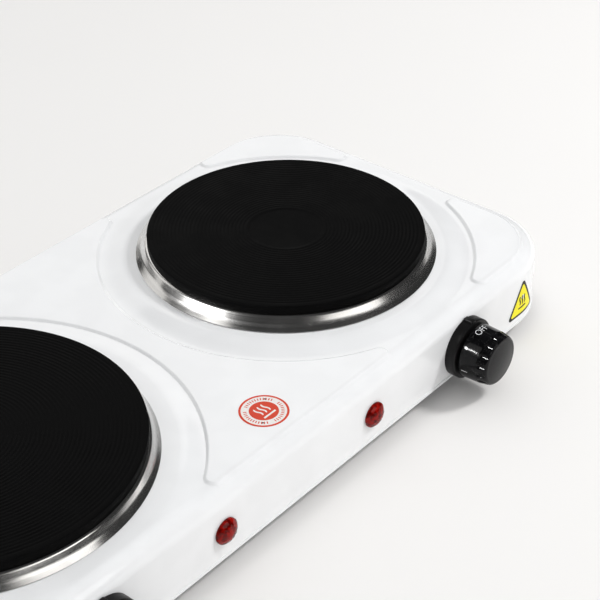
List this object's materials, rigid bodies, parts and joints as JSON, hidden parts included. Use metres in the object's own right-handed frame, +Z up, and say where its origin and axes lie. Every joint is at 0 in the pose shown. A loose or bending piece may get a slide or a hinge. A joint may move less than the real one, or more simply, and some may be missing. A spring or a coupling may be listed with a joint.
{
  "type": "hot plate burner",
  "caption": "Low white enamelled table-top cooker with a large and a small solid cast-iron plate in steel spill rings, rotary dials and red pilot lamps on its front wall, on rubber feet.",
  "frame": {"origin": "on the table under the middle of the overall box, knobs and lead bush included; the middle of the housing is 11.5 mm behind it", "axes": "+X to the right along the front wall, +Y from the front wall with the dials to the back wall, +Z up"},
  "size_m": [0.469, 0.249, 0.0623],
  "materials": {
    "white_enamel": "gloss vitreous enamel",
    "galvanised_steel": "satin zinc",
    "zinc_steel": "bright zinc",
    "spring_steel": "satin",
    "stainless_steel": "polished",
    "cast_iron_black": "matte, fine turned rings",
    "resistance_wire": "dull",
    "grey_ceramic": "matte",
    "white_ceramic": "matte",
    "brass": "satin",
    "brown_moulding": "satin",
    "black_rubber": "matte",
    "wire_sleeve": "matte glass-fibre sleeve",
    "matte_black_plastic": "fine texture",
    "gloss_black_plastic": "gloss skirt, satin face",
    "white_plastic": "satin",
    "red_lens": "translucent gloss",
    "bulb_glass": "clear",
    "sticker_film": "satin print",
    "warning_foil": "satin print"
  },
  "bodies": {
    "housing": {"top_housing": "white_enamel", "base_tray": "galvanised_steel", "corner_posts": "zinc_steel", "rubber_feet": "black_rubber", "foot_screws": "zinc_steel", "terminal_block": "white_ceramic", "terminal_screws": "brass", "earth_screw": "brass", "cord_gland": "black_rubber", "round_sticker": "sticker_film", "hot_surface_label": "warning_foil", "hotplate_left": "cast_iron_black", "hotplate_right": "cast_iron_black", "spill_ring_left": "stainless_steel", "spill_ring_right": "stainless_steel", "heating_coil_left": "resistance_wire", "heating_coil_right": "resistance_wire", "ceramic_filling_left": "grey_ceramic", "ceramic_filling_right": "grey_ceramic", "plate_cover_left": "galvanised_steel", "plate_cover_right": "galvanised_steel", "terminal_insulator_left": "white_ceramic", "terminal_insulator_right": "white_ceramic", "clamp_stud_left": "zinc_steel", "clamp_stud_right": "zinc_steel", "clamp_bridge_left": "galvanised_steel", "clamp_bridge_right": "galvanised_steel", "clamp_nut_left": "zinc_steel", "clamp_nut_right": "zinc_steel", "wires_left": "wire_sleeve", "wires_right": "wire_sleeve", "thermostat_bracket_left": "galvanised_steel", "thermostat_bracket_right": "galvanised_steel", "thermostat_body_left": "brown_moulding", "thermostat_body_right": "brown_moulding", "thermostat_tabs_left": "brass", "thermostat_tabs_right": "brass", "thermostat_screws_left": "zinc_steel", "thermostat_screws_right": "zinc_steel", "dial_bezel_left": "matte_black_plastic", "dial_bezel_right": "matte_black_plastic", "lamp_lens_left": "red_lens", "lamp_lens_right": "red_lens", "lamp_bulb_left": "bulb_glass", "lamp_bulb_right": "bulb_glass", "lamp_holder_left": "white_plastic", "lamp_holder_right": "white_plastic", "lamp_retainer_left": "spring_steel", "lamp_retainer_right": "spring_steel"},
    "dial_left": {"control_knob_left": "gloss_black_plastic", "thermostat_shaft_left": "zinc_steel"},
    "dial_right": {"control_knob_right": "gloss_black_plastic", "thermostat_shaft_right": "zinc_steel"}
  },
  "joints": [
    {"name": "turn_dial_left", "type": "hinge", "parent": "housing", "child": "dial_left", "pos_m": [-0.1354, -0.0995, 0.0236], "axis": [0, 1, 0], "range_deg": [0, 270]},
    {"name": "turn_dial_right", "type": "hinge", "parent": "housing", "child": "dial_right", "pos_m": [0.1354, -0.0995, 0.0236], "axis": [0, 1, 0], "range_deg": [0, 270]}
  ]
}
